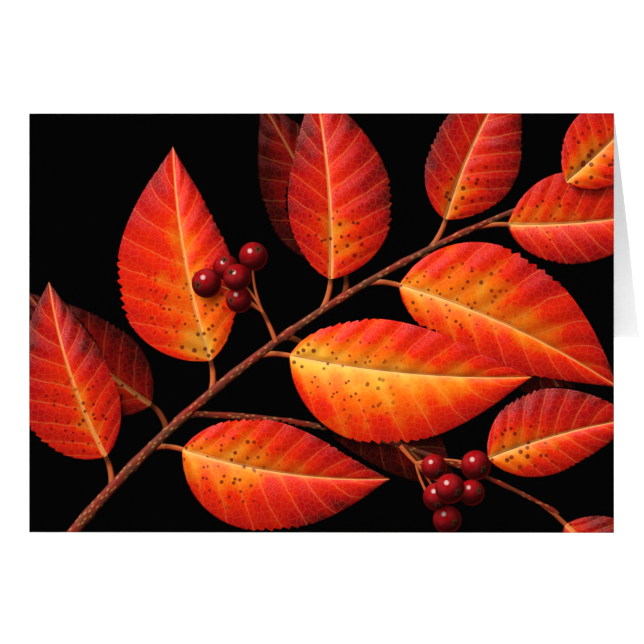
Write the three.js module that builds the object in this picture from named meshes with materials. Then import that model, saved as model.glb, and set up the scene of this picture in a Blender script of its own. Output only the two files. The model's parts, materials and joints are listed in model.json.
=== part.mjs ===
// A folded greeting card of heavy white card stock, its fold along the top, standing open like a tent.
// Millimetres, +Z up, +X along the fold, -Y towards whoever looks at the printed front.
// The origin is on the surface that the card stands on, midway between its two bottom edges.
//
// The real card is one sheet, scored across its middle and folded once. It is three solids here, because
// the fold is a hinge: the front panel, the bend that carries the sheet over the crest, and the back panel.
import * as THREE from "three";

// Driving dimensions
const WIDTH = 177.8; // along the fold, 7 in
const DROP = 127.0; // from the crest of the fold to the bottom edge when the card is shut, 5 in
const STOCK = 0.45; // thickness of the card stock
const OPENING = THREE.MathUtils.degToRad(57.6); // between the two panels as the card stands
const SHUT_GAP = 0.3; // between the two inner faces when the card is shut
const SEAM = 0.1; // between the bend and the front panel, which it moves with
const SWING_ROOM = 0.1; // between the bend and the top edge of the back panel, which swings past it
const BEND_STEPS = 14; // flats round each face of the bend

// Worked out from those. The sheet turns round the fold's axis, and a leaning panel meets the surface
// with the inner corner of its bottom edge.
const LEAN = OPENING / 2; // of each panel, from the vertical
const BEND_INNER = SHUT_GAP / 2;
const BEND_OUTER = BEND_INNER + STOCK;
const PANEL_END = DROP - BEND_OUTER; // from the axis down to the bottom edge, along the panel
const BACK_START = Math.sqrt((BEND_OUTER + SWING_ROOM) ** 2 - BEND_INNER ** 2);
const AXIS_HEIGHT = PANEL_END * Math.cos(LEAN) - BEND_INNER * Math.sin(LEAN);

const printed = new THREE.MeshStandardMaterial({ color: 0x2a0c06, roughness: 0.4, metalness: 0 });
const white = new THREE.MeshStandardMaterial({ color: 0xf4f3ef, roughness: 0.85, metalness: 0 });

// One flat half of the sheet, from `start` below the fold's axis down to its bottom edge. It hangs in a
// frame of its own that leans by LEAN. `side` is -1 for the front, whose outer face looks to -Y, and 1 for
// the back.
function panel(name, side, start, material) {
  const mesh = new THREE.Mesh(new THREE.BoxGeometry(WIDTH, STOCK, PANEL_END - start), material);
  mesh.name = name;
  mesh.position.set(0, side * (BEND_INNER + STOCK / 2), -(start + PANEL_END) / 2);
  const leaning = new THREE.Group();
  leaning.rotation.x = side * LEAN;
  leaning.add(mesh);
  return leaning;
}

// The strip of the sheet that goes over the crest, from square to the front panel to square to the back
// panel, drawn in the plane across the fold and extruded along it.
function bend(name, material) {
  const section = new THREE.Shape();
  section.absarc(0, 0, BEND_OUTER, LEAN, Math.PI - LEAN, false);
  section.absarc(0, 0, BEND_INNER, Math.PI - LEAN, LEAN, true);
  section.closePath();
  const strip = new THREE.ExtrudeGeometry(section, {
    depth: WIDTH,
    curveSegments: BEND_STEPS,
    bevelEnabled: false,
  });
  const mesh = new THREE.Mesh(strip, material);
  mesh.name = name;
  mesh.rotation.set(Math.PI / 2, Math.PI / 2, 0); // the section's x and y become the card's Y and Z
  mesh.position.x = -WIDTH / 2;
  return mesh;
}

const card = new THREE.Group();
card.position.z = AXIS_HEIGHT;
card.add(panel("front_panel", -1, SEAM, printed));
card.add(bend("fold_bend", printed));
card.add(panel("back_panel", 1, BACK_START, white));

export default card;
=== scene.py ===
# A folded greeting card of white card stock, with a picture of an autumn twig printed on its front.
# Metres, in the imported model's frame: +X along the fold, -Y towards the viewer of the front, +Z up.
import json
from math import asin, atan2, ceil, cos, hypot, pi, radians, remainder, sin, sqrt
from typing import NamedTuple

import bpy
from bpy.props import FloatProperty, FloatVectorProperty, PointerProperty
from mathutils import Matrix, Vector
from mathutils.geometry import delaunay_2d_cdt


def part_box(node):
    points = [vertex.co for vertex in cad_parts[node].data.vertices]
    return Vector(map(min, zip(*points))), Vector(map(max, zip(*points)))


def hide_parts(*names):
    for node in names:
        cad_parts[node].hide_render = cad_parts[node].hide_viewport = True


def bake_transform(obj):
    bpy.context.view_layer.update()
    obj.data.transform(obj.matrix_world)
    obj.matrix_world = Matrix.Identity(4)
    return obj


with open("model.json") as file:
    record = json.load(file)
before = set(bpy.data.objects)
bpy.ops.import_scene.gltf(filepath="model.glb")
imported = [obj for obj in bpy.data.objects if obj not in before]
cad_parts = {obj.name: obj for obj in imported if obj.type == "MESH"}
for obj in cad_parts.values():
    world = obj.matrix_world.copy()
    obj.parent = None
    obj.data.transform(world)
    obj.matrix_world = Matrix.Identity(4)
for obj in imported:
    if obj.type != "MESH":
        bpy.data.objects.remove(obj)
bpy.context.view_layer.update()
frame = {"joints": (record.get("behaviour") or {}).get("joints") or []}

bl_info = {
    "name": "Folded greeting card",
    "version": (1, 0, 0),
    "blender": (4, 5, 0),
    "location": "View3D > Sidebar > Card",
    "description": "Makes the stock, the printed front and the studio of a folded greeting card",
    "category": "Object",
}

MM = 0.001

# The card's own sizes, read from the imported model. The sheet turns round the fold's axis.
FOLD = frame["joints"][0]
AXIS_HEIGHT = FOLD["pos_m"][2]
OPENING = radians(-FOLD["range_deg"][0])
LEAN = OPENING / 2  # of each panel, from the vertical
BEND_LOW, BEND_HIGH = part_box("fold_bend")
WIDTH = BEND_HIGH.x - BEND_LOW.x
OUTER = BEND_HIGH.z - AXIS_HEIGHT  # from the axis to the sheet's outer face
INNER = (BEND_LOW.z - AXIS_HEIGHT) / sin(LEAN)  # and to its inner face
PANEL = (AXIS_HEIGHT + INNER * sin(LEAN)) / cos(LEAN)  # from the axis down to a bottom edge

# The sheet is drawn flat first: `run` goes along it from the crest, below zero on the front and above
# zero on the back, and `depth` goes outward from the fold's axis.
BEND_ANGLE = pi / 2 - LEAN  # either side of the crest
BEND_RUN = BEND_ANGLE * (INNER + OUTER) / 2
SHEET_RUN = BEND_RUN + PANEL  # from the crest to either bottom edge
SHARP_TURN = radians(10)  # faces that turn more than this from one to the next show an edge


# Points of the sheet


def sheet_point(x, run, depth, bow):
    """The place in the row frame of a point that was drawn on the flat sheet."""
    side = -1 if run < 0 else 1
    angle = max(-BEND_ANGLE, min(BEND_ANGLE, run / BEND_RUN * BEND_ANGLE))
    drop = max(0.0, abs(run) - BEND_RUN)
    out = depth + bow * (1 - cos(2 * pi * drop / PANEL)) / 2
    y = sin(angle) * out + side * sin(LEAN) * drop
    z = cos(angle) * out - cos(LEAN) * drop
    return x, y, AXIS_HEIGHT + z


def runs_between(first, last, widest):
    """Stations along the sheet from `first` to `last`: close together round the fold, and up to `widest`
    apart on the panels."""
    bend_steps = 18
    stations = [BEND_RUN * (2 * i / bend_steps - 1) for i in range(bend_steps + 1)]
    drop, step = 0.0, 0.25 * MM
    while drop < PANEL:
        drop += step
        stations += [BEND_RUN + drop, -BEND_RUN - drop]
        step = min(step * 1.3, widest)
    spare = 0.02 * MM
    inside = [s for s in stations if first + spare < s < last - spare]
    return [first, *sorted(inside), last]


def widths_between(first, last, widest):
    """Even stations along the fold, up to `widest` apart."""
    steps = ceil((last - first) / widest)
    return [first + (last - first) * i / steps for i in range(steps + 1)]


# Meshes


def new_object(name, data):
    """An object in the scene that shows `data`."""
    thing = bpy.data.objects.new(name, data)
    bpy.context.scene.collection.objects.link(thing)
    return thing


def piece_of(mesh, materials):
    """The object that shows a mesh, shaded smooth except where its faces turn sharply."""
    for material in materials:
        mesh.materials.append(material)
    mesh.shade_smooth()
    mesh.set_sharp_from_angle(angle=SHARP_TURN)
    return new_object(mesh.name, mesh)


def layer_mesh(name, flat, faces, outer, inner, bow):
    """A closed layer of the sheet. `flat` holds its points as places along the fold and along the sheet,
    `faces` its outer faces, anticlockwise seen from outside, and `outer` and `inner` give the depths of
    its two sides at a place. The mesh lists the outer faces first, then the inner ones, then the rim, and
    its attribute "through" goes from 0 on the inner side to 1 on the outer."""
    count = len(flat)
    points = [sheet_point(x, run, depth(x, run), bow) for depth in (outer, inner) for x, run in flat]
    inner_faces = [tuple(corner + count for corner in reversed(face)) for face in faces]
    rim = [(b, a, a + count, b + count) for a, b in open_edges(faces)]
    mesh = bpy.data.meshes.new(name)
    mesh.from_pydata(points, [], [*faces, *inner_faces, *rim])
    layer = mesh.uv_layers.new(name="sheet")
    for spot, loop in zip(layer.uv, mesh.loops):
        spot.vector = flat[loop.vertex_index % count]
    through = mesh.attributes.new("through", "FLOAT", "POINT")
    through.data.foreach_set("value", [1.0] * count + [0.0] * count)
    return mesh


def edge_gap(x, run):
    """How far a place on the sheet lies from the nearest cut edge."""
    return min(WIDTH / 2 - abs(x), SHEET_RUN - abs(run))


def drawn_in(gap, radius):
    """How far an edge rounded to that radius lies below its face, `gap` in from the cut."""
    short = max(0.0, radius - gap)
    return radius - sqrt(radius * radius - short * short)


def stock_mesh(sizes):
    """The sheet itself. Its first material is for the faces, and its second for the cut edges."""
    radii = (sizes.outer_round, sizes.inner_round)
    turn_steps = 5
    turns = [pi / 2 * i / turn_steps for i in range(turn_steps + 1)]
    gaps = sorted({radius * (1 - cos(turn)) for radius in radii for turn in turns})

    def with_edges(half, inside):
        """The stations across the sheet: those of the rounded edges at both ends of the inside ones."""
        return [*(gap - half for gap in gaps), *inside[1:-1], *(half - gap for gap in reversed(gaps))]

    flat_x, flat_run = WIDTH / 2 - gaps[-1], SHEET_RUN - gaps[-1]
    columns = with_edges(WIDTH / 2, widths_between(-flat_x, flat_x, 12 * MM))
    rows = with_edges(SHEET_RUN, runs_between(-flat_run, flat_run, 6 * MM))
    wide = len(columns)
    faces = []
    for j in range(len(rows) - 1):
        for i in range(j * wide, (j + 1) * wide - 1):
            faces.append((i, i + 1, i + 1 + wide, i + wide))

    def outer(x, run):
        """The outer face, which lies lower at the front, under the print."""
        step_run = 0.25 * MM  # over which the face rises from below the print to its full height
        bare = max(0.0, min(1.0, (run - sizes.print_wrap) / step_run))
        return OUTER - sizes.print_thickness * (1 - bare) - drawn_in(edge_gap(x, run), sizes.outer_round)

    def inner(x, run):
        """The inner face."""
        return INNER + drawn_in(edge_gap(x, run), sizes.inner_round)

    flat = [(x, run) for run in rows for x in columns]
    mesh = layer_mesh("card_stock", flat, faces, outer, inner, sizes.bow)
    for number, polygon in enumerate(mesh.polygons):
        side = number // len(faces)
        x, run = (sum(flat[v % len(flat)][k] for v in polygon.vertices) / 4 for k in (0, 1))
        polygon.material_index = int(side > 1 or edge_gap(x, run) < radii[side])
    return mesh


def print_mesh(sizes, motifs):
    """The ink and its satin coating: a thin layer over the front, which ends just past the crest. It is
    cut along the outlines of the picture, so that each face lies in one motif or on the bare ground."""
    half_width = WIDTH / 2 - sizes.outer_round
    first, last = -(SHEET_RUN - sizes.outer_round), sizes.print_wrap
    rows = [(run + SHEET_RUN) / MM for run in runs_between(first, last, 2 * MM)]
    columns = [x / MM for x in widths_between(-half_width, half_width, 2 * MM)]
    drawn, triangles, nearest = cut_out(motifs, columns, rows)

    sunk = 0.004 * MM  # into the stock below it
    flat = [(x * MM, y * MM - SHEET_RUN) for x, y in drawn]
    bottom = OUTER - sizes.print_thickness - sunk
    depths = (lambda x, run: OUTER, lambda x, run: bottom)
    mesh = layer_mesh("printed_layer", flat, triangles, *depths, sizes.bow)
    values = {name: [] for name in CORNER_VALUES}
    for triangle, number in zip(triangles, nearest):
        for corner in triangle:
            for name, triple in corner_values(motifs, number, *drawn[corner]).items():
                values[name] += triple
    unseen = len(mesh.loops) * 3
    for name, numbers in values.items():
        attribute = mesh.attributes.new(name, "FLOAT_VECTOR", "CORNER")
        attribute.data.foreach_set("vector", numbers + [0.0] * (unseen - len(numbers)))
    for polygon, number in zip(mesh.polygons, nearest):
        polygon.material_index = GROUND if number < 0 else motifs[number].ink
    return mesh


def open_edges(faces):
    """The edges that only one face has, each in that face's direction."""
    directed = {(face[i - 1], face[i]) for face in faces for i in range(len(face))}
    return [(a, b) for a, b in sorted(directed) if (b, a) not in directed]


def cut_out(motifs, columns, rows):
    """Cuts the flat front into triangles along the motifs' outlines. Returns the points, the triangles,
    and for each triangle the number of the nearest motif, or -1 on the bare ground."""
    points = [(x, y) for y in rows for x in columns]
    wide, count = len(columns), len(points)
    edges = [(i, i + 1) for i in range(count - 1) if (i + 1) % wide]
    loops = [[0, wide - 1, count - 1, count - wide]]
    for motif in motifs:
        outline = motif.outline()
        loops.append(range(len(points), len(points) + len(outline)))
        points += outline
    found = delaunay_2d_cdt([Vector(p) for p in points], edges, loops, 0, 1e-5)
    places, triangles, within = found[0], found[2], found[5]
    kept = [(t, max(loop) - 1) for t, loop in zip(triangles, within) if 0 in loop]
    used = sorted({corner for t, _ in kept for corner in t})
    number_of = {corner: number for number, corner in enumerate(used)}
    flat = [tuple(places[corner]) for corner in used]
    return flat, [tuple(number_of[c] for c in t) for t, _ in kept], [nearest for _, nearest in kept]


# Shader nodes, written as formulas


class Wire:
    """A number or a colour on its way between shader nodes. Sums and products of wires add the Math
    nodes that work them out, so that a pattern reads as its formula."""

    def __init__(self, tree, socket):
        self.tree = tree
        self.socket = socket

    def __add__(self, other):
        return worked("ADD", self, other)

    def __radd__(self, other):
        return worked("ADD", other, self)

    def __sub__(self, other):
        return worked("SUBTRACT", self, other)

    def __rsub__(self, other):
        return worked("SUBTRACT", other, self)

    def __mul__(self, other):
        return worked("MULTIPLY", self, other)

    def __rmul__(self, other):
        return worked("MULTIPLY", other, self)

    def __truediv__(self, other):
        return worked("DIVIDE", self, other)

    def __pow__(self, other):
        return worked("POWER", self, other)

    def __abs__(self):
        return worked("ABSOLUTE", self)


def feed(socket, value):
    """Sets a socket to a number or a colour, or links a wire to it."""
    if isinstance(value, Wire):
        value.tree.links.new(value.socket, socket)
    elif hasattr(value, "__len__") and len(value) == 3 and len(socket.default_value) == 4:
        socket.default_value = (*value, 1.0)
    else:
        socket.default_value = value


def fed_node(tree, kind, inputs):
    """A new shader node of that kind, with its inputs fed by name or number."""
    node = tree.nodes.new("ShaderNode" + kind)
    for name, value in inputs.items():
        feed(node.inputs[name], value)
    return node


def worked(kind, *values):
    """What a Math node of that kind gives for numbers and wires."""
    tree = next(v.tree for v in values if isinstance(v, Wire))
    node = fed_node(tree, "Math", dict(enumerate(values)))
    node.operation = kind
    return Wire(tree, node.outputs[0])


def larger(first, second):
    """The larger of two values."""
    return worked("MAXIMUM", first, second)


def held(value):
    """The value, kept between 0 and 1."""
    wire = worked("ADD", value, 0.0)
    wire.socket.node.use_clamp = True
    return wire


def rise(value, low, high):
    """0 below `low`, 1 above `high`, and a smooth rise between. It falls where `low` is the larger."""
    node = fed_node(value.tree, "MapRange", {"Value": value, "From Min": low, "From Max": high})
    node.interpolation_type = "SMOOTHSTEP"
    return Wire(value.tree, node.outputs["Result"])


def mixed(first, second, share, how="MIX"):
    """The colour that goes from `first` to `second` as `share` goes from 0 to 1."""
    tree = next(v.tree for v in (first, second, share) if isinstance(v, Wire))
    node = tree.nodes.new("ShaderNodeMix")
    node.data_type = "RGBA"
    node.blend_type = how
    colour_inputs = [s for s in node.inputs if s.type == "RGBA"]
    feed(node.inputs[0], share)
    feed(colour_inputs[0], first)
    feed(colour_inputs[1], second)
    return Wire(tree, next(s for s in node.outputs if s.type == "RGBA"))


def dimmed(colour, amount):
    """The colour with each of its parts multiplied by `amount`."""
    wire = mixed((0.0, 0.0, 0.0), colour, amount)
    wire.socket.node.clamp_factor = False
    return wire


def through_ramp(value, stops):
    """The colour at `value` on a ramp of (place, colour) stops."""
    node = fed_node(value.tree, "ValToRGB", {"Fac": value})
    band = node.color_ramp
    band.elements[0].position, band.elements[-1].position = stops[0][0], stops[-1][0]
    for place, _ in stops[1:-1]:
        band.elements.new(place)
    for element, (_, colour) in zip(band.elements, stops):
        element.color = (*colour, 1.0)
    return Wire(value.tree, node.outputs["Color"])


def noise(point, size, detail=2.0, roughness=0.5, distortion=0.0):
    """Cloudy noise from 0 to 1 whose largest clouds are about `size` millimetres across."""
    inputs = {"Vector": point, "Scale": 1 / size, "Detail": detail}
    inputs |= {"Roughness": roughness, "Distortion": distortion}
    node = fed_node(point.tree, "TexNoise", inputs)
    node.noise_dimensions = "2D"
    return Wire(point.tree, node.outputs[0])


def cells(point, size, feature="F1"):
    """How far the middle or the edge of a cell is, for cells about `size` millimetres across."""
    node = fed_node(point.tree, "TexVoronoi", {"Vector": point, "Scale": 1 / size})
    node.voronoi_dimensions = "2D"
    node.feature = feature
    return Wire(point.tree, node.outputs["Distance"])


def new_material(name):
    """An empty node material, its tree and its Principled shader."""
    material = bpy.data.materials.new(name)
    material.use_nodes = True
    tree = material.node_tree
    return material, tree, tree.nodes["Principled BSDF"]


def sheet_place(tree):
    """The place on the flat sheet, for texture nodes: millimetres from the middle of the front's bottom
    edge."""
    uv = tree.nodes.new("ShaderNodeUVMap")
    uv.uv_map = "sheet"
    inputs = {
        "Vector": Wire(tree, uv.outputs[0]),
        "Scale": (1 / MM, 1 / MM, 1.0),
        "Location": (0.0, SHEET_RUN / MM, 0.0),
    }
    return Wire(tree, fed_node(tree, "Mapping", inputs).outputs[0])


def parts_of(point):
    """The three numbers of a point."""
    parts = fed_node(point.tree, "SeparateXYZ", {0: point})
    return [Wire(point.tree, socket) for socket in parts.outputs]


def moved(point, distance):
    """The point, moved so that a texture there shows another stretch."""
    return Wire(point.tree, fed_node(point.tree, "VectorMath", {0: point, 1: distance}).outputs[0])


def paired(x, y):
    """A point for texture nodes from its two places."""
    tree = next(v.tree for v in (x, y) if isinstance(v, Wire))
    return Wire(tree, fed_node(tree, "CombineXYZ", {0: x, 1: y}).outputs[0])


def bumped(tree, shader, height, depth):
    """Gives a shader the relief of `height`, from 0 to 1, `depth` metres deep."""
    node = fed_node(tree, "Bump", {"Height": height, "Strength": 1.0, "Distance": depth})
    tree.links.new(node.outputs[0], shader.inputs["Normal"])


def coloured(shader, colour, roughness, specular):
    """Gives a shader its colour and its finish."""
    feed(shader.inputs["Base Color"], colour)
    feed(shader.inputs["Roughness"], roughness)
    feed(shader.inputs["Specular IOR Level"], specular)


# The picture: an autumn twig with berries. Everything in it is drawn in millimetres of the flat sheet,
# from the middle of the front's bottom edge, and angles are anticlockwise from the fold's direction.

LIGHT_ANGLE = radians(122)  # where the light in the picture comes from
SHADOW_SHIFT = 3.0  # how far a motif's shadow falls away from the light
SHADOW_DEPTH = 0.78
SHADOW_OUTSIDE = 1.6  # how far outside the motif's outline its shadow begins
SHADOW_RISE = 4.4  # from there to where it is full

GROUND, LEAF, BARK, BERRY = range(4)  # the inks, in the order of the printed layer's materials

# What the corners of a motif's faces hold for its ink. Each is three numbers: "place" is where the
# corner lies on the motif, "form" and "look" describe the motif, and "light" is the light's direction
# along the motif and to its left, and how much of it nearer motifs let through.
CORNER_VALUES = ("place", "form", "look", "light")

# The leaf's outline, also where its ink draws it. At a share u of the length, half_width is multiplied by
# BLADE_FULLNESS * u ** BLADE_BASE * (1 - u) ** BLADE_TIP, which is 1 where the leaf is broadest.
BLADE_FULLNESS, BLADE_BASE, BLADE_TIP = 3.3, 0.68, 1.12
BERRY_STAR = 0.60  # how far from a berry's middle its star shows, in its radii


class Arc(NamedTuple):
    """A line that bends evenly, with a place beside it for every point of the picture."""

    x: float
    y: float
    heading: float
    bend: float  # radians a millimetre, never 0

    def point(self, along, left=0.0):
        """The point that lies so far along the line and to its left."""
        turned = along * self.bend
        radius = 1 / self.bend - left
        forward, aside = radius * sin(turned), 1 / self.bend - radius * cos(turned)
        c, s = cos(self.heading), sin(self.heading)
        return self.x + forward * c - aside * s, self.y + forward * s + aside * c

    def place(self, x, y):
        """How far along the line and to its left a point lies, and which way the line heads there."""
        right, up = x - self.x, y - self.y
        c, s = cos(self.heading), sin(self.heading)
        forward, aside = right * c + up * s, up * c - right * s
        over, back = forward * self.bend, 1 - aside * self.bend
        turned = atan2(over, back)
        return turned / self.bend, (1 - hypot(over, back)) / self.bend, self.heading + turned


class Stem(NamedTuple):
    """A twig, or the stalk of a leaf, a bunch or a berry."""

    line: Arc
    length: float
    half_start: float  # half its thickness where it starts
    half_end: float
    joint_gap: float  # between the swellings where leaves leave it
    fresh: float  # 0 is bark, 1 is a green stalk
    shade: float
    bud: float = 0.0  # length of the bud at its tip

    ink = BARK

    def half(self, along):
        """Half its thickness there."""
        to_tip = self.length - along
        if self.bud and to_tip < self.bud:
            out = 1 - max(0.0, to_tip / self.bud)
            return self.half_end * (1 + 2.4 * out) * (1 - 0.98 * out) ** 0.75  # broader, then pointed
        share = max(0.0, min(1.0, along / self.length))
        tapered = self.half_start + (self.half_end - self.half_start) * share
        swelling = max(0.0, cos(2 * pi * (along / self.joint_gap + 0.15)) - 0.55)
        return tapered + swelling * 0.28 * self.half_start

    def outline(self):
        """Its two sides, with the bud if it has one."""
        body = self.length - self.bud
        steps = max(12, round(body / 1.6))
        stations = [body * i / steps for i in range(steps + 1)]
        if self.bud:
            bud_steps = 9
            stations += [body + self.bud * (i + 1) / bud_steps for i in range(bud_steps)]
        right = [self.line.point(a, -self.half(a)) for a in stations]
        left = [self.line.point(a, self.half(a)) for a in stations]
        return [*right, *reversed(left)]

    def inset(self, x, y):
        """How far inside its sides a point lies, or below 0 how far outside."""
        along, across, _ = self.line.place(x, y)
        past = max(-along, along - self.length, 0.0)
        return self.half(along) - abs(across) - past

    def values(self, x, y):
        """What a corner there holds as its place, form and look, and which way the motif faces there."""
        along, across, facing = self.line.place(x, y)
        half = self.half(along)
        return (along, across, half), (self.fresh, 0.0, 0.0), (0.0, self.shade, 0.0), facing


class Leaf(NamedTuple):
    """One leaf of a twig."""

    twig: Stem
    joint: float  # how far along the twig its stalk leaves it
    heading: float  # degrees
    length: float
    half_width: float
    curl: float  # degrees that the midrib turns from base to tip
    fold: float  # how much wider its left half looks than its right, seen from the stalk
    ripe: float  # 0 is yellow, 1 is dark red
    shade: float  # 1 in full light
    blur: float  # how far its edge fades, in millimetres


class Blade(NamedTuple):
    """The blade of a leaf round its midrib."""

    leaf: Leaf
    midrib: Arc
    seed: float

    ink = LEAF

    def edge(self, u, side):
        """How far from the midrib the blade ends at a share of its length, without its teeth."""
        if not 0 < u < 1:
            return 0.0
        half = self.leaf.half_width * BLADE_FULLNESS * u**BLADE_BASE * (1 - u) ** BLADE_TIP
        wave = 0.05 * sin(u * 11 + self.seed * 6.3 + side * 1.4)  # no two leaves have the same
        return half * (1 + wave) * (1 + self.leaf.fold * side)

    def outline(self):
        """The edge with its teeth, which point to the tip and are of uneven sizes."""
        teeth = 27
        sides = {}
        for side in (1, -1):
            drawn = []
            for k in range(teeth):
                size = 1 + 0.5 * sin(k * 2.4 + self.seed * 9 + side)
                notch, point = (0.1, 1 - 0.024 * size), (0.9, 1 + 0.030 * size)
                for share, reach in (notch, point):
                    u = (k + share) / teeth
                    out = side * self.edge(u, side) * reach
                    drawn.append(self.midrib.point(u * self.leaf.length, out))
            sides[side] = drawn
        base, tip = self.midrib.point(0), self.midrib.point(self.leaf.length)
        return [base, *sides[-1], tip, *reversed(sides[1])]

    def inset(self, x, y):
        """How far inside the edge a point lies, or below 0 how far outside."""
        along, across, _ = self.midrib.place(x, y)
        past = max(-along, along - self.leaf.length, 0.0)
        return self.edge(along / self.leaf.length, 1 if across > 0 else -1) - abs(across) - past

    def values(self, x, y):
        """As for a stem."""
        leaf = self.leaf
        along, across, facing = self.midrib.place(x, y)
        form, look = (leaf.length, leaf.half_width, leaf.fold), (leaf.ripe, leaf.shade, leaf.blur)
        return (along / leaf.length, across, self.seed), form, look, facing


class Berry(NamedTuple):
    """A round berry, with the dried star of its flower at one end."""

    x: float
    y: float
    radius: float
    star: float  # the angle at which the star shows
    shade: float
    seed: float

    ink = BERRY

    def outline(self):
        """A circle."""
        steps = 40
        angles = [2 * pi * i / steps for i in range(steps)]
        return [(self.x + self.radius * cos(a), self.y + self.radius * sin(a)) for a in angles]

    def inset(self, x, y):
        """How far inside the circle a point lies, or below 0 how far outside."""
        return self.radius - hypot(x - self.x, y - self.y)

    def values(self, x, y):
        """As for a stem."""
        place = ((x - self.x) / self.radius, (y - self.y) / self.radius, self.seed)
        star_x, star_y = BERRY_STAR * cos(self.star), BERRY_STAR * sin(self.star)
        return place, (star_x, star_y, 0.0), (0.0, self.shade, 0.0), 0.0


def corner_values(motifs, number, x, y):
    """The CORNER_VALUES for a point of the picture that shows that motif, or the bare ground."""
    if number < 0:
        return dict.fromkeys(CORNER_VALUES, (0.0, 0.0, 0.0))
    place, form, look, facing = motifs[number].values(x, y)
    lit = 1.0
    from_x = x + SHADOW_SHIFT * cos(LIGHT_ANGLE)
    from_y = y + SHADOW_SHIFT * sin(LIGHT_ANGLE)
    for motif in motifs[number + 1 :]:
        inside = (motif.inset(from_x, from_y) + SHADOW_OUTSIDE) / SHADOW_RISE
        inside = max(0.0, min(1.0, inside))
        lit *= 1 - SHADOW_DEPTH * inside * inside * (3 - 2 * inside)
    towards = LIGHT_ANGLE - facing
    light = (cos(towards), sin(towards), lit)
    return dict(zip(CORNER_VALUES, (place, form, look, light)))


def arc_between(start, end, bend):
    """The line of that bend from one point to another, and its length."""
    right, up = end[0] - start[0], end[1] - start[1]
    turn = 2 * asin(hypot(right, up) * bend / 2)
    return Arc(*start, atan2(up, right) - turn / 2, bend), turn / bend


MAIN_LINE = Arc(-82.0, -8.0, radians(52), radians(-32) / 188)
SIDE_LINE = Arc(*MAIN_LINE.point(60), 0.0, radians(-30) / 120)
MAIN_TWIG = Stem(MAIN_LINE, 192.0, 1.75, 0.70, 20.5, 0.0, 1.0)
SIDE_TWIG = Stem(SIDE_LINE, 118.5, 1.05, 0.55, 17.0, 0.0, 0.85, bud=5.0)
STALK = 10.0  # length of a leaf's stalk
STALK_UNDER = 1.0  # how far it goes on under the blade
STALK_SLANT = 0.5  # the share of its turn away from the twig that it makes at once
NO_JOINTS = 500.0  # a gap between joints that is longer than any stalk


class Cluster(NamedTuple):
    """A hanging bunch of berries."""

    twig: Stem
    joint: float
    heading: float  # degrees
    reach: float  # from the twig to where its stalk forks
    berries: int
    shade: float


# From the furthest to the nearest
LEAVES_BEHIND = [
    Leaf(MAIN_TWIG, 98, -50, 62, 15, 14, 0.15, 0.92, 0.30, 0.9),
    Leaf(MAIN_TWIG, 146, -42, 60, 14, -12, -0.10, 0.95, 0.28, 0.9),
    Leaf(MAIN_TWIG, 120, 112, 56, 14, 10, 0.10, 0.90, 0.32, 0.8),
    Leaf(MAIN_TWIG, 52, 146, 52, 13, -16, 0.00, 0.88, 0.34, 0.8),
]
LEAVES_BEFORE = [
    Leaf(SIDE_TWIG, 112, -44, 40, 11, 14, 0.10, 0.78, 0.75, 0.2),
    Leaf(MAIN_TWIG, 150, 74, 52, 14, -18, -0.15, 0.74, 0.85, 0.2),
    Leaf(MAIN_TWIG, 28, 118, 56, 15, -20, 0.18, 0.70, 0.90, 0.15),
    Leaf(MAIN_TWIG, 165, -2, 52, 14, 16, 0.12, 0.62, 0.90, 0.15),
    Leaf(SIDE_TWIG, 84, 22, 48, 13, -14, 0.15, 0.66, 0.95, 0.15),
    Leaf(MAIN_TWIG, 112, 88, 60, 16, 14, -0.20, 0.68, 0.95, 0.12),
    Leaf(MAIN_TWIG, 128, -16, 74, 18, -18, 0.20, 0.50, 1.00, 0.12),
    Leaf(MAIN_TWIG, 45, -18, 64, 17, 20, -0.10, 0.54, 1.00, 0.12),
    Leaf(MAIN_TWIG, 186, 40, 46, 12, 10, 0.05, 0.66, 0.95, 0.12),
    Leaf(MAIN_TWIG, 70, 108, 66, 18, -16, 0.22, 0.55, 1.05, 0.12),
    Leaf(MAIN_TWIG, 88, -12, 74, 19, 14, -0.18, 0.40, 1.08, 0.12),
]
CLUSTERS = [
    Cluster(MAIN_TWIG, 95, 108, 10, 5, 0.95),
    Cluster(SIDE_TWIG, 66, -52, 7, 6, 1.0),
]


def green_stalk(line, length, half_start, half_end, shade):
    """The stalk of a leaf, a bunch or a berry."""
    return Stem(line, length, half_start, half_end, NO_JOINTS, 1.0, shade)


def leaf_motifs(leaf, seed):
    """The stalk and the blade of a leaf. The stalk turns away from the twig and into the midrib."""
    twig = leaf.twig.line
    ahead = twig.heading + twig.bend * leaf.joint
    heading = radians(leaf.heading)
    aside = remainder(heading - ahead, 2 * pi)
    line = Arc(*twig.point(leaf.joint), ahead + aside * STALK_SLANT, aside * (1 - STALK_SLANT) / STALK)
    foot = min(1.0, leaf.twig.half(leaf.joint))
    stalk = green_stalk(line, STALK + STALK_UNDER, half_start=foot, half_end=0.70, shade=leaf.shade)
    midrib = Arc(*line.point(STALK), heading, radians(leaf.curl) / leaf.length)
    return stalk, Blade(leaf, midrib, seed)


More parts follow.
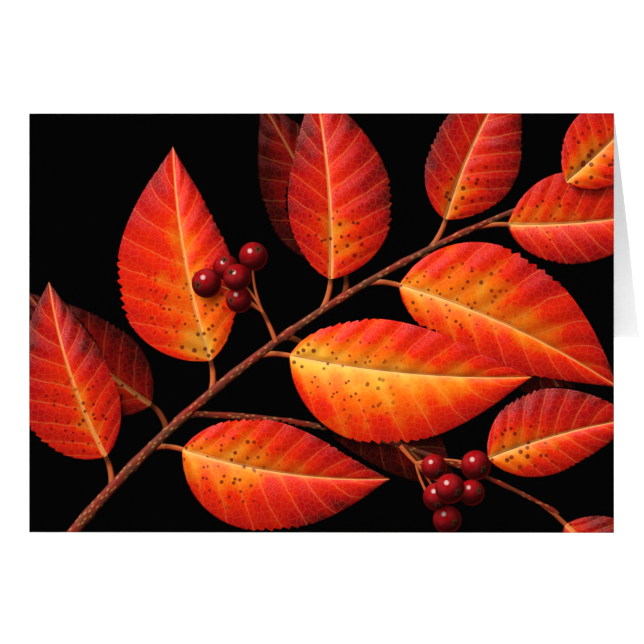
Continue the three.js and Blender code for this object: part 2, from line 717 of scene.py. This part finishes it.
def cluster_motifs(cluster, seed):
    """The forked stalk of a bunch and its berries, the outer ones behind."""
    radius = 4.2
    spacing = radius * 1.12
    fork_to_middle = 13.0
    golden_turn = 2.4  # radians from one berry to the next, which packs them evenly
    heading = radians(cluster.heading)
    fork = Arc(*cluster.twig.line.point(cluster.joint), heading, 0.02)
    split = fork.point(cluster.reach)
    middle = fork.point(cluster.reach + fork_to_middle)
    stalks = [green_stalk(fork, cluster.reach, half_start=0.75, half_end=0.55, shade=cluster.shade)]
    berries = []
    for i in reversed(range(cluster.berries)):
        turn = golden_turn * i + seed
        out = spacing * sqrt(i)
        place = (middle[0] + out * cos(turn), middle[1] + out * sin(turn))
        line, length = arc_between(split, place, 0.03 * (-1) ** i)
        stalks.append(green_stalk(line, length, half_start=0.42, half_end=0.36, shade=cluster.shade))
        star = line.heading + line.bend * length + 0.5 * sin(i * 3.7)
        size = radius * (1 + 0.08 * sin(i * 5.1 + seed))
        berries.append(Berry(*place, size, star, cluster.shade, seed + i))
    return stalks + berries


def picture():
    """Every motif, from the furthest to the nearest."""
    leaves = [leaf_motifs(leaf, 0.37 * n) for n, leaf in enumerate(LEAVES_BEHIND + LEAVES_BEFORE)]
    behind, before = leaves[: len(LEAVES_BEHIND)], leaves[len(LEAVES_BEHIND) :]
    motifs = [motif for pair in behind for motif in pair]
    motifs += [stalk for stalk, _ in before]
    motifs += [SIDE_TWIG, MAIN_TWIG]
    motifs += [blade for _, blade in before]
    for number, cluster in enumerate(CLUSTERS):
        motifs += cluster_motifs(cluster, 1.3 * number)
    return motifs


# Inks


def corner_parts(tree, name):
    """The three numbers that the corners hold under that name."""
    node = tree.nodes.new("ShaderNodeAttribute")
    node.attribute_name = name
    return parts_of(Wire(tree, node.outputs["Vector"]))


def printed_material(name):
    """The start of an ink under the satin coating: its tree, the place on the sheet for textures, and a
    function that gives the material the ink's colour and returns it."""
    material, tree, shader = new_material(name)
    point = sheet_place(tree)
    bumped(tree, shader, noise(point, 0.25, detail=2), 0.002 * MM)

    def end(colour):
        coloured(shader, colour, roughness=0.24, specular=0.35)
        return material

    return tree, point, end


def grain_of(point):
    """The fine grain that all of the picture has."""
    return noise(point, 0.42, detail=1, roughness=0.7)


def ground_ink(inks):
    """The deep ink behind the twig."""
    _, point, end = printed_material("ground_ink")
    uneven = noise(point, 30, detail=2)
    return end(dimmed(inks.ground, 0.7 + uneven * 0.6))


def leaf_ink(inks):
    """A leaf on the turn, with its veins, its flecks, its sheen and its grain."""
    tree, sheet, end = printed_material("leaf_ink")
    u, across, seed = corner_parts(tree, "place")
    length, half_width, fold = corner_parts(tree, "form")
    ripeness, shade, blur = corner_parts(tree, "look")
    light_along, light_left, lit = corner_parts(tree, "light")
    point = moved(sheet, seed * 53)
    mottle = noise(point, 17, detail=3, roughness=0.6)
    grain = grain_of(point)
    net = rise(cells(point, 2.1, "DISTANCE_TO_EDGE"), 0.11, 0.02)
    fine_net = rise(cells(point, 0.8, "DISTANCE_TO_EDGE"), 0.16, 0.03)
    fleck = rise(cells(point, 3.4) + mottle * 0.35, 0.36, 0.27)

    side = worked("SIGN", across)
    off = abs(across)
    inside = held(u)
    half = half_width * BLADE_FULLNESS * inside**BLADE_BASE * (1 - inside) ** BLADE_TIP
    half = half * (1 + fold * side)
    inset = half - off
    v = held(off / larger(half, 0.4))
    light_out = light_left * side

    # side veins leave the midrib and sweep towards the tip
    vein_pairs = 8.5
    sweep = u - 0.17 * v**0.85
    beat = worked("FRACT", sweep * vein_pairs + side * 0.22 + seed + mottle * 0.35)
    off_vein = worked("MINIMUM", beat, 1 - beat) * length * (0.72 / vein_pairs)
    vein = rise(off_vein, 0.42 - v * 0.26, 0.05)
    near_vein = rise(off_vein, 2.4, 0.2)
    rib_half = 0.78 - 0.60 * inside
    rib = rise(off, rib_half + 0.2, rib_half - 0.25)

    # the light on the blade: halves folded up from the midrib, edges rolled over, quilted between veins
    light_sweep = light_along * 0.75 - light_out * 0.66
    quilt = worked("SINE", beat * (2 * pi)) * light_sweep * (v * 2.0 + 0.25) * (1.25 - v)
    folded = light_out * (v * 1.5 - 0.8)
    arched = light_along * (u - 0.38)
    light = 0.99 + folded * 0.46 + arched * 0.50 - quilt * 0.17 + (mottle - 0.5) * 0.60
    groove = rise(off, 2.4, 0.3) * light_out * -0.22
    light = larger(light + groove, 0.12)

    ripe = ripeness + (v - 0.45) * 0.50 + (u - 0.40) * 0.44 + (mottle - 0.5) * 0.80
    ripe = ripe - near_vein * 0.06 - net * 0.04
    stops = [(0.06, inks.yellow), (0.30, inks.orange), (0.52, inks.scarlet)]
    stops += [(0.80, inks.crimson), (1.00, inks.maroon)]
    tint = through_ramp(held(ripe), stops)
    tint = mixed(tint, inks.shade, rise(light, 1.0, 0.35), "MULTIPLY")  # shade is warmer than light
    tint = dimmed(tint, light * (0.84 + grain * 0.32))
    pale = vein * 0.24 + net * 0.06 + fine_net * 0.025
    tint = mixed(tint, dimmed(mixed(inks.vein, tint, 0.35), light), held(pale))
    rib_light = light * (1 + light_left * across * 0.5)
    tint = mixed(tint, dimmed(mixed(inks.vein, tint, 0.25), rib_light), rib * 0.85)
    flecked = fleck * rise(u, 0.62, 0.25) * rise(v, 0.95, 0.5)
    tint = mixed(tint, inks.maroon, flecked * 0.85)
    shine = rise(light, 1.05, 1.55) * rise(grain, 0.20, 0.80)
    tint = mixed(tint, inks.sheen, shine * 0.80, "SCREEN")
    rim = rise(inset, 0.55, 0.1)
    tint = dimmed(tint, 1 + rim * (light_out * 0.45 - 0.15))
    return end(dimmed(tint, shade * lit * rise(inset, blur * -0.5, blur)))


def bark_ink(inks):
    """The twigs and the stalks, round and lit from the picture's light."""
    tree, point, end = printed_material("bark_ink")
    along, across, half = corner_parts(tree, "place")
    fresh, _, _ = corner_parts(tree, "form")
    _, shade, _ = corner_parts(tree, "look")
    _, light_left, lit = corner_parts(tree, "light")
    grain = grain_of(point)
    mottle = noise(point, 9, detail=3, roughness=0.6)
    streaks = noise(paired(along * 0.12, across), 0.45, detail=2)
    pore = rise(cells(paired(along * 0.45, across), 1.3), 0.26, 0.14) * (1 - fresh)
    over = across / half
    rounded = worked("SQRT", held(1 - over**2))
    light = rounded * 0.62 + over * light_left * 0.55 + (grain - 0.5) * 0.35 + (streaks - 0.5) * 0.5
    bark = mixed(inks.bark, inks.crimson, held(mottle * 1.6 - 0.5))
    bark = mixed(bark, inks.vein, pore * 0.45)
    stalk = mixed(inks.stalk, inks.scarlet, held(over * light_left * -0.6 + 0.35))
    tint = mixed(bark, stalk, fresh)
    glint = rise(rounded * 0.7 + over * light_left * 0.6, 0.78, 0.95) * (0.3 + grain * 0.7)
    tint = mixed(dimmed(tint, larger(light + 0.15, 0.05)), inks.sheen, held(glint) * 0.35, "SCREEN")
    return end(dimmed(tint, shade * lit))


def berry_ink(inks):
    """A glossy berry with a bloom on it and the dark star that its flower left."""
    tree, point, end = printed_material("berry_ink")
    x, y, seed = corner_parts(tree, "place")
    star_x, star_y, _ = corner_parts(tree, "form")
    _, shade, _ = corner_parts(tree, "look")
    light_x, light_y, lit = corner_parts(tree, "light")
    grain = grain_of(point)
    bloom = noise(moved(point, seed * 31), 3.0, detail=3, roughness=0.6)
    toward = worked("SQRT", held(1 - x * x - y * y))
    light = larger((x * light_x + y * light_y) * 0.66 + toward * 0.75, 0.0)
    tint = mixed(inks.maroon, inks.crimson, rise(light, 0.35, 1.05))
    tint = dimmed(tint, 0.08 + light * (0.80 + grain * 0.3))
    dusty = rise(bloom, 0.35, 0.75) * rise(light, 0.3, 1.0)
    tint = mixed(tint, inks.sheen, dusty * 0.10, "SCREEN")
    rim = (1 - toward) ** 3
    tint = mixed(tint, inks.scarlet, rim * 0.18, "SCREEN")
    off_x, off_y = x - light_x * 0.46, y - light_y * 0.46
    highlight = rise(worked("SQRT", off_x**2 + off_y**2), 0.21, 0.09)
    tint = mixed(tint, (1.0, 0.78, 0.72), highlight * 0.75, "SCREEN")

    # the star lies towards the rim, so it is drawn shorter that way
    foreshortening = 0.75
    out_x, out_y = star_x / BERRY_STAR, star_y / BERRY_STAR
    outward = ((x - star_x) * out_x + (y - star_y) * out_y) / foreshortening
    aside = (y - star_y) * out_x - (x - star_x) * out_y
    off = worked("SQRT", outward**2 + aside**2)
    points = 0.25 + 0.08 * worked("SINE", worked("ARCTAN2", aside, outward) * 5)  # five of them
    tint = mixed(tint, dimmed(inks.bark, light * 0.8), rise(off, points + 0.05, points - 0.03))
    tint = mixed(tint, inks.ground, rise(off, 0.13, 0.06) * 0.85)
    return end(dimmed(tint, shade * lit))


def stock_material(colour):
    """Uncoated white card, with the cloudy formation and the fine tooth of paper."""
    material, tree, shader = new_material("uncoated_white_card")
    point = sheet_place(tree)
    cloudy = noise(point, 2.2, detail=4, roughness=0.65)
    fibres = noise(point, 0.35, detail=3, roughness=0.6, distortion=1.5)
    darker = [c * 0.965 for c in colour]
    tint = mixed(darker, list(colour), rise(cloudy * 0.55 + fibres * 0.45, 0.32, 0.66))
    coloured(shader, tint, roughness=0.78 + fibres * 0.16, specular=0.25)
    bumped(tree, shader, fibres * 0.7 + cloudy * 0.3, 0.030 * MM)
    return material


def cut_material(colour):
    """The cut edge of the card, where the layers of fibre show."""
    material, tree, shader = new_material("guillotined_edge")
    x, run, _ = parts_of(sheet_place(tree))
    along = x + run  # one of the two stays the same along an edge
    depth = tree.nodes.new("ShaderNodeAttribute")
    depth.attribute_name = "through"
    through = Wire(tree, depth.outputs["Fac"]) * ((OUTER - INNER) / MM)
    layers = noise(paired(along * 0.10, through), 0.09, detail=3, roughness=0.6)
    darker = [c * 0.88 for c in colour]
    tint = mixed(darker, [min(1.0, c * 1.02) for c in colour], rise(layers, 0.30, 0.62))
    coloured(shader, tint, roughness=0.92, specular=0.15)
    bumped(tree, shader, layers, 0.02 * MM)
    return material


# The studio

CAMERA_LENS = 1200.0  # mm on a 36 mm sensor, so the card is drawn almost without perspective
CAMERA_TURN = radians(5.014)  # to the right of square on to the front panel
CAMERA_TILT = radians(0.103)
CAMERA_DISTANCE = 6.4997
AIM_RIGHT = 0.17 * MM  # of the fold's middle
AIM_BELOW = 62.62 * MM  # below the fold, in the picture

FRONT_NORMAL = Vector((0, -cos(LEAN), sin(LEAN)))
FRONT_UP = Vector((0, sin(LEAN), cos(LEAN)))
BACK_NORMAL = Vector((0, cos(LEAN), sin(LEAN)))


def make_floor(colour, glow):
    """A plain pale floor that reaches the horizon of every view, lit from below as a product
    photographer's table is."""
    material, _, shader = new_material("studio_floor")
    coloured(shader, colour, roughness=0.95, specular=0.0)
    feed(shader.inputs["Emission Color"], (1.0, 1.0, 1.0))
    feed(shader.inputs["Emission Strength"], glow)
    reach = 14.0
    mesh = bpy.data.meshes.new("studio_floor")
    corners = [(-reach, -reach, 0), (reach, -reach, 0), (reach, reach, 0), (-reach, reach, 0)]
    mesh.from_pydata(corners, [], [(0, 1, 2, 3)])
    mesh.materials.append(material)
    new_object("studio_floor", mesh)


def in_back_plane(turn):
    """A direction in the back panel's own plane, turned to the right from straight up the panel. A lamp
    there lights the front and the cut edges, and only grazes the back panel."""
    up_panel = Vector((0, -sin(LEAN), cos(LEAN)))
    return cos(turn) * up_panel + sin(turn) * Vector((1, 0, 0))


def make_sun(name, direction, strength, spread, glossy=False):
    """A lamp far away in that direction, `spread` degrees across."""
    data = bpy.data.lights.new(name, "SUN")
    data.energy = strength
    data.angle = radians(spread)
    lamp = new_object(name, data)
    lamp.rotation_mode = "QUATERNION"
    lamp.rotation_quaternion = direction.to_track_quat("Z", "Y")
    lamp.visible_glossy = glossy


def make_inside_lamp(watts):
    """A small soft lamp low beside the card's right opening. It lights the inside from the foot up."""
    data = bpy.data.lights.new("inside_lamp", "AREA")
    data.energy = watts
    data.size = 24 * MM
    place = Vector((WIDTH / 2 + 34 * MM, 30 * MM, 10 * MM))
    target = Vector((WIDTH / 2 - 5 * MM, 50 * MM, 20 * MM))  # on the back's inner face
    lamp = new_object("inside_lamp", data)
    turned = (place - target).to_track_quat("Z", "Y").to_matrix().to_4x4()
    lamp.matrix_world = Matrix.Translation(place) @ turned
    lamp.visible_camera = False
    lamp.visible_glossy = False


def make_sky(strength, gloss_strength):
    """White light from all round. What the satin front mirrors is a darker studio."""
    world = bpy.data.worlds.new("studio")
    world.use_nodes = True
    tree = world.node_tree
    background = tree.nodes["Background"]
    ray = tree.nodes.new("ShaderNodeLightPath")
    camera_ray = Wire(tree, ray.outputs["Is Camera Ray"])
    glossy_ray = Wire(tree, ray.outputs["Is Glossy Ray"])
    lit = strength + (gloss_strength - strength) * glossy_ray
    feed(background.inputs["Strength"], lit + (1.0 - lit) * camera_ray)
    feed(background.inputs["Color"], (1.0, 1.0, 1.0))
    bpy.context.scene.world = world


def make_camera():
    """The camera at the photograph's angle."""
    sideways = cos(CAMERA_TURN) * FRONT_NORMAL + sin(CAMERA_TURN) * Vector((1, 0, 0))
    direction = cos(CAMERA_TILT) * sideways + sin(CAMERA_TILT) * FRONT_UP
    aim = Vector((AIM_RIGHT, 0, AXIS_HEIGHT)) - AIM_BELOW * FRONT_UP
    right = FRONT_UP.cross(direction).normalized()
    up = direction.cross(right)
    data = bpy.data.cameras.new("photo_camera")
    data.lens = CAMERA_LENS
    data.sensor_width = 36.0
    data.clip_start = 0.1
    data.clip_end = 60.0
    camera = new_object("photo_camera", data)
    turned = Matrix((right, up, direction)).transposed().to_4x4()
    camera.matrix_world = Matrix.Translation(aim + direction * CAMERA_DISTANCE) @ turned
    bpy.context.scene.camera = camera


# The add-on

# The kinds of numbers that its user can change
LENGTH = {"min": 0.0, "precision": 5, "unit": "LENGTH"}
ROUNDING = {**LENGTH, "min": 0.01 * MM, "max": 0.3 * MM}
THICKNESS = {**LENGTH, "min": 0.005 * MM}
TURN = {"subtype": "ANGLE"}
STRENGTH = {"min": 0.0}
POWER = {"min": 0.0, "precision": 4, "unit": "POWER"}


def setting(name, description, default, kind):
    """A number of one of those kinds."""
    return FloatProperty(name=name, description=description, default=default, **kind)


def colour_setting(name, description, default):
    """A colour that the user can change."""
    return FloatVectorProperty(
        name=name, description=description, default=default, subtype="COLOR", min=0.0, max=1.0
    )


class CardSheet(bpy.types.PropertyGroup):
    """Sizes and colour of the stock and of the layer printed on it."""

    outer_round: setting(
        "Outer rounding", "Radius of the cut edges on the outer face", 0.03 * MM, ROUNDING
    )
    inner_round: setting(
        "Inner rounding", "Radius of the cut edges on the inner face", 0.26 * MM, ROUNDING
    )
    bow: setting("Bow", "How far the middle of each panel stands out of flat", 0.35 * MM, LENGTH)
    print_thickness: setting(
        "Print thickness", "Thickness of the ink and its coating", 0.02 * MM, THICKNESS
    )
    print_wrap: setting("Print wrap", "How far past the crest the print goes", 0.12 * MM, LENGTH)
    stock_colour: colour_setting("Stock colour", "Colour of the white card", (0.74, 0.74, 0.74))


class CardPrint(bpy.types.PropertyGroup):
    """Inks of the printed picture."""

    ground: colour_setting("Ground", "Ink behind the twig", (0.0005, 0.0005, 0.0005))
    yellow: colour_setting("Yellow", "The least ripe parts of the leaves", (1.0, 0.46, 0.035))
    orange: colour_setting("Orange", "Leaves on the turn", (0.95, 0.17, 0.002))
    scarlet: colour_setting("Scarlet", "Leaves well turned", (0.84, 0.017, 0.001))
    crimson: colour_setting("Crimson", "Leaf edges and tips", (0.50, 0.002, 0.005))
    maroon: colour_setting("Maroon", "Flecks, berries and the leaves behind", (0.12, 0.002, 0.004))
    shade: colour_setting("Shade", "What shade multiplies the leaves' colours by", (1.0, 0.60, 0.30))
    vein: colour_setting("Veins", "Midribs and side veins", (0.98, 0.42, 0.10))
    sheen: colour_setting("Sheen", "Light on the leaves", (0.80, 0.16, 0.16))
    stalk: colour_setting("Stalks", "Leaf and berry stalks", (0.80, 0.22, 0.06))
    bark: colour_setting("Bark", "The twigs", (0.16, 0.050, 0.022))


class CardStudio(bpy.types.PropertyGroup):
    """The floor and the lamps."""

    floor: colour_setting("Floor", "Colour of the floor", (0.93, 0.93, 0.93))
    floor_glow: setting("Floor glow", "Strength of the light from below the floor", 0.36, STRENGTH)
    sky: setting("Sky", "Strength of the light from all round", 0.10, STRENGTH)
    sky_in_gloss: setting(
        "Sky in gloss", "Strength of the light that shiny surfaces mirror", 0.02, STRENGTH
    )
    key_lamp: setting("Key lamp", "Strength of the lamp high in front of the card", 1.95, STRENGTH)
    key_turn: setting(
        "Key lamp's turn", "How far right of the card's middle the lamp stands", radians(4), TURN
    )
    edge_lamp: setting(
        "Edge lamp", "Strength of the lamp on the right, which lights the cut edges", 0.9, STRENGTH
    )
    edge_turn: setting(
        "Edge lamp's turn", "How far right of the card's middle that lamp stands", radians(75), TURN
    )
    back_lamp: setting(
        "Back lamp", "Strength of the lamp square on to the back's outer face", 1.7, STRENGTH
    )
    inside_lamp: setting(
        "Inside lamp", "Power of the small lamp low beside the card's right opening", 0.007, POWER
    )


def bends_with_fold(piece):
    """Bakes a piece's placement into its mesh."""
    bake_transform(piece)


class CARD_OT_stock(bpy.types.Operator):
    """Make the folded sheet of white card"""

    bl_idname = "card.stock"
    bl_label = "Card stock"

    def execute(self, context):
        sizes = context.scene.card_sheet
        colour = sizes.stock_colour
        piece = piece_of(stock_mesh(sizes), [stock_material(colour), cut_material(colour)])
        bends_with_fold(piece)
        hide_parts("front_panel", "fold_bend", "back_panel")
        return {"FINISHED"}


class CARD_OT_print(bpy.types.Operator):
    """Make the printed layer on the front of the card"""

    bl_idname = "card.print"
    bl_label = "Printed front"

    def execute(self, context):
        inks = context.scene.card_print
        materials = [ground_ink(inks), leaf_ink(inks), bark_ink(inks), berry_ink(inks)]
        piece = piece_of(print_mesh(context.scene.card_sheet, picture()), materials)
        bends_with_fold(piece)
        return {"FINISHED"}


class CARD_OT_studio(bpy.types.Operator):
    """Make the floor, the lamps and the camera"""

    bl_idname = "card.studio"
    bl_label = "Studio"

    def execute(self, context):
        studio = context.scene.card_studio
        make_floor(studio.floor, studio.floor_glow)
        make_sky(studio.sky, studio.sky_in_gloss)
        make_sun("key_lamp", in_back_plane(studio.key_turn), studio.key_lamp, spread=2)
        make_sun("edge_lamp", in_back_plane(studio.edge_turn), studio.edge_lamp, spread=10, glossy=True)
        make_sun("back_lamp", BACK_NORMAL, studio.back_lamp, spread=8)
        make_inside_lamp(studio.inside_lamp)
        make_camera()
        return {"FINISHED"}


class CARD_PT_card(bpy.types.Panel):
    """Lists the card's pieces, and what can be changed before they are made"""

    bl_idname = "CARD_PT_card"
    bl_label = "Folded greeting card"
    bl_space_type = "VIEW_3D"
    bl_region_type = "UI"
    bl_category = "Card"

    def draw(self, context):
        scene = context.scene
        for operator, settings in (
            (CARD_OT_stock, scene.card_sheet),
            (CARD_OT_print, scene.card_print),
            (CARD_OT_studio, scene.card_studio),
        ):
            box = self.layout.box()
            for name in settings.__annotations__:
                box.prop(settings, name)
            box.operator(operator.bl_idname)


CLASSES = (
    CardSheet, CardPrint, CardStudio, CARD_OT_stock, CARD_OT_print, CARD_OT_studio, CARD_PT_card
)


def register():
    for cls in CLASSES:
        bpy.utils.register_class(cls)
    bpy.types.Scene.card_sheet = PointerProperty(type=CardSheet)
    bpy.types.Scene.card_print = PointerProperty(type=CardPrint)
    bpy.types.Scene.card_studio = PointerProperty(type=CardStudio)


def unregister():
    del bpy.types.Scene.card_studio
    del bpy.types.Scene.card_print
    del bpy.types.Scene.card_sheet
    for cls in reversed(CLASSES):
        bpy.utils.unregister_class(cls)


def main():
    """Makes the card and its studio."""
    register()
    bpy.context.scene.view_settings.view_transform = "Standard"
    bpy.ops.card.stock()
    bpy.ops.card.print()
    bpy.ops.card.studio()


if __name__ == "__main__":
    main()
